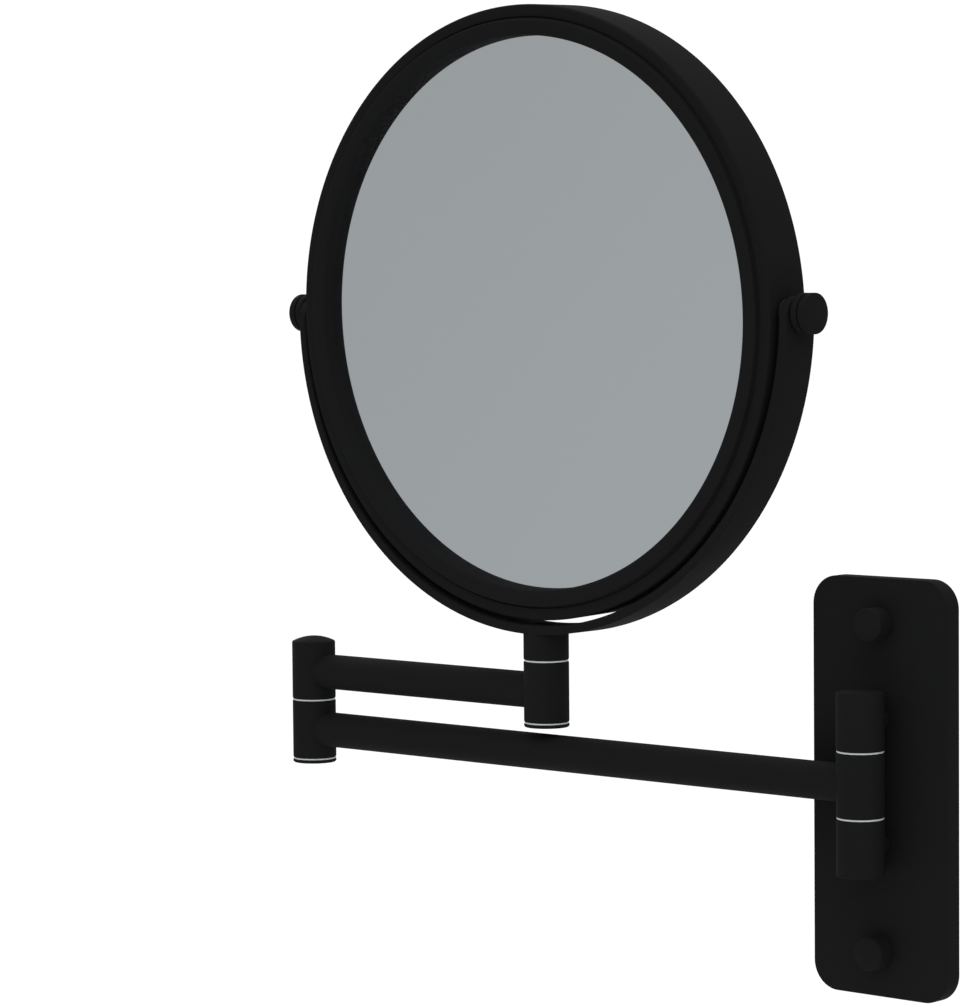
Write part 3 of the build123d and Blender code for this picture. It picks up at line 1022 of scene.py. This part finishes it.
@dataclass
class ThumbScrews:
    """Turned thumb screws at both ends of the yoke, each a moving body of its own. Millimetres."""

    radius: float = 6.8
    stud: float = 2.4
    neck_chamfer: float = 0.6
    flank: float = 2.7
    groove: float = 0.7
    groove_depth: float = 0.6
    rim: float = 2.5
    crown: float = 0.6
    edge: float = 0.3
    lip: float = 0.15

    def outline(self, length: float) -> list[Point]:
        """Outline of a thumb screw from its stud's end to the crown of its head.

        Args:
            length: Overall length.

        Returns:
            An outline with both ends on the axis.
        """
        face = length - self.crown
        rim = face - self.rim
        shoulder = rim - self.groove
        neck = shoulder - self.flank
        floor = self.radius - self.groove_depth
        c, e, lip = self.neck_chamfer, self.edge, self.lip
        r, stud, play = self.radius, self.stud, 0.02
        points = [(0.0, 0.0), (stud - e, 0.0), (stud, e), (stud, neck), (r - c, neck), (r, neck + c)]
        points += [(r, shoulder - lip), (r - lip, shoulder), (floor, shoulder)]
        points += [(floor, rim), (r - lip, rim), (r, rim + lip), *arc((r - e, face - e), e, 0, 90, 5)]
        return points + dome(r - e - play, face, self.crown, 10)

    def build(self, pivot: Vector) -> None:
        """Model a thumb screw and copy it to both ends of the yoke.

        Args:
            pivot: Centre of the tilt axis, in metres.
        """
        pattern = turn("knob_pattern", self.outline(span(Side.RIGHT.of("knob"), 0)), 128)
        for side, knob in zip(Side, copies(pattern, [side.of("knob_turned") for side in Side])):
            node = side.of("knob")
            put(knob, Vector((side.inner_x(node), pivot.y, pivot.z)), side.outward)
            SubAssembly(side.of("thumb_screw")).hand_over(knob, POWDER_COAT, node)


@dataclass(frozen=True)
class SoftLight:
    """One square area light. Metres and watts."""

    name: str
    place: Triple
    size: float
    watts: float


@dataclass
class Studio:
    """Floor, light and camera. Metres and degrees."""

    floor_place: Triple = (-0.1, -0.1, -0.24)
    floor_radius: float = 0.8
    floor_white: float = 0.93
    azimuth: float = 41.93
    elevation: float = 3.55
    roll: float = -0.52
    eye: Triple = (0.72233, -1.00459, 0.17086)
    focal_pixels: float = 3768.3
    frame_height: int = 1005
    sensor: float = 36.0
    aim: Triple = (-0.12, -0.02, 0.1)
    lights: tuple[SoftLight, ...] = (
        SoftLight("key", (1.1, -1.2, 1.5), 1.4, 4.0),
        SoftLight("fill", (-1.7, 0.5, 0.9), 1.6, 8.0),
        SoftLight("top", (-0.1, -0.1, 2.2), 2.4, 13.0),
    )
    backdrop: float = 1.05
    room_low: Triple = (0.368, 0.383, 0.388)
    room_level: Triple = (0.362, 0.376, 0.380)
    room_ceiling: Triple = (0.75, 0.75, 0.75)
    glow_direction: Triple = (0.60, -0.54, -0.59)
    glow_reach: Pair = (-0.02, 0.18)
    glow_strength: Pair = (0.985, 1.085)

    def camera(self) -> None:
        """Make the camera at the photograph's viewing angle."""
        a, e, r = (math.radians(x) for x in (self.azimuth, self.elevation, self.roll))
        back = Vector((math.sin(a) * math.cos(e), -math.cos(a) * math.cos(e), math.sin(e)))
        level = Vector((math.cos(a), math.sin(a), 0.0))
        upright = back.cross(level)
        right = level * math.cos(r) + upright * math.sin(r)
        up = upright * math.cos(r) - level * math.sin(r)
        data = bpy.data.cameras.new("camera")
        data.sensor_width = self.sensor
        data.lens = self.focal_pixels * self.sensor / self.frame_height
        data.clip_start, data.clip_end = 0.05, 50.0
        camera = bpy.data.objects.new("camera", data)
        bpy.context.scene.collection.objects.link(camera)
        turned = Matrix((right, up, back)).transposed()
        camera.matrix_world = Matrix.Translation(self.eye) @ turned.to_4x4()
        bpy.context.scene.camera = camera

    def floor(self) -> None:
        """Make the plain pale floor."""
        deselect()
        bpy.ops.mesh.primitive_circle_add(
            vertices=128, radius=self.floor_radius, fill_type="NGON", location=self.floor_place
        )
        floor = bpy.context.object
        floor.name = "floor"
        material = bpy.data.materials.new("pale_floor")
        material.use_nodes = True
        shader = material.node_tree.nodes["Principled BSDF"]
        shader.inputs["Base Color"].default_value = (*[self.floor_white] * 3, 1.0)
        shader.inputs["Roughness"].default_value = 0.9
        shader.inputs["Specular IOR Level"].default_value = 0.1
        floor.data.materials.append(material)

    def hang(self, light: SoftLight) -> None:
        """Make one soft area light that points at the object.

        Args:
            light: Its name, place, size and power.
        """
        data = bpy.data.lights.new(light.name, "AREA")
        data.size = light.size
        data.energy = light.watts
        lamp = bpy.data.objects.new(light.name, data)
        bpy.context.scene.collection.objects.link(lamp)
        lamp.location = light.place
        lamp.rotation_euler = (Vector(self.aim) - lamp.location).to_track_quat("-Z", "Y").to_euler()

    def room_colour(
        self, nodes: bpy.types.Nodes, links: bpy.types.NodeLinks, where: bpy.types.Node
    ) -> bpy.types.Node:
        """Colour of the soft grey room, from low to level to its bright ceiling.

        Args:
            nodes: The world's nodes.
            links: The world's links.
            where: Texture coordinates of the world.

        Returns:
            The ramp node.
        """
        split = nodes.new("ShaderNodeSeparateXYZ")
        lift = nodes.new("ShaderNodeMapRange")
        lift.inputs["From Min"].default_value = -1.0
        lift.inputs["From Max"].default_value = 1.0
        ramp = nodes.new("ShaderNodeValToRGB")
        links.new(where.outputs["Generated"], split.inputs["Vector"])
        links.new(split.outputs["Z"], lift.inputs["Value"])
        links.new(lift.outputs["Result"], ramp.inputs["Fac"])
        stops = ramp.color_ramp.elements
        stops[0].position, stops[0].color = 0.40, (*self.room_low, 1.0)
        stops[1].position, stops[1].color = 1.0, (*self.room_ceiling, 1.0)
        stops.new(0.58).color = (*self.room_level, 1.0)
        return ramp

    def room_glow(
        self, nodes: bpy.types.Nodes, links: bpy.types.NodeLinks, where: bpy.types.Node
    ) -> bpy.types.Node:
        """Strength of the room, a little higher towards one side, as the mirror shows it.

        Args:
            nodes: The world's nodes.
            links: The world's links.
            where: Texture coordinates of the world.

        Returns:
            The node that gives the strength.
        """
        toward_glow = nodes.new("ShaderNodeVectorMath")
        toward_glow.operation = "DOT_PRODUCT"
        toward_glow.inputs[1].default_value = self.glow_direction
        glow = nodes.new("ShaderNodeMapRange")
        glow.inputs["From Min"].default_value, glow.inputs["From Max"].default_value = self.glow_reach
        glow.inputs["To Min"].default_value, glow.inputs["To Max"].default_value = self.glow_strength
        links.new(where.outputs["Generated"], toward_glow.inputs[0])
        links.new(toward_glow.outputs["Value"], glow.inputs["Value"])
        return glow

    def surroundings(self) -> None:
        """Make a white backdrop that lights the object as a soft grey room with a bright ceiling."""
        world = bpy.data.worlds.new("studio")
        world.use_nodes = True
        nodes, links = world.node_tree.nodes, world.node_tree.links
        nodes.clear()
        where = nodes.new("ShaderNodeTexCoord")
        room = nodes.new("ShaderNodeBackground")
        links.new(self.room_colour(nodes, links, where).outputs["Color"], room.inputs["Color"])
        links.new(self.room_glow(nodes, links, where).outputs["Result"], room.inputs["Strength"])
        backdrop = nodes.new("ShaderNodeBackground")
        backdrop.inputs["Strength"].default_value = self.backdrop
        backdrop.inputs["Color"].default_value = (1.0, 1.0, 1.0, 1.0)
        path = nodes.new("ShaderNodeLightPath")
        mix = nodes.new("ShaderNodeMixShader")
        out = nodes.new("ShaderNodeOutputWorld")
        links.new(path.outputs["Is Camera Ray"], mix.inputs["Fac"])
        links.new(room.outputs["Background"], mix.inputs[1])
        links.new(backdrop.outputs["Background"], mix.inputs[2])
        links.new(mix.outputs["Shader"], out.inputs["Surface"])
        bpy.context.scene.world = world

    def build(self) -> None:
        """Set up the whole studio."""
        self.camera()
        self.floor()
        self.surroundings()
        for light in self.lights:
            self.hang(light)
        bpy.context.scene.view_settings.view_transform = "Standard"
        bpy.context.scene.view_settings.look = "None"


def joint_place(name: str) -> Vector:
    """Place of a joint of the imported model, in metres."""
    return next(Vector(joint["pos_m"]) for joint in frame["joints"] if joint["name"] == name)


def main() -> None:
    """Build the makeup mirror, piece by piece, and its studio."""
    logging.basicConfig(level=logging.INFO, format="%(message)s")
    pivot = joint_place("mirror_tilt")
    Studio().build()
    stock = HingeStock()
    WallBracket().build(stock)
    LongArm().build(stock)
    ShortArm().build(stock)
    Yoke().build(pivot, stock)
    MirrorHead().build(pivot)
    ThumbScrews().build(pivot)


if __name__ == "__main__":
    main()
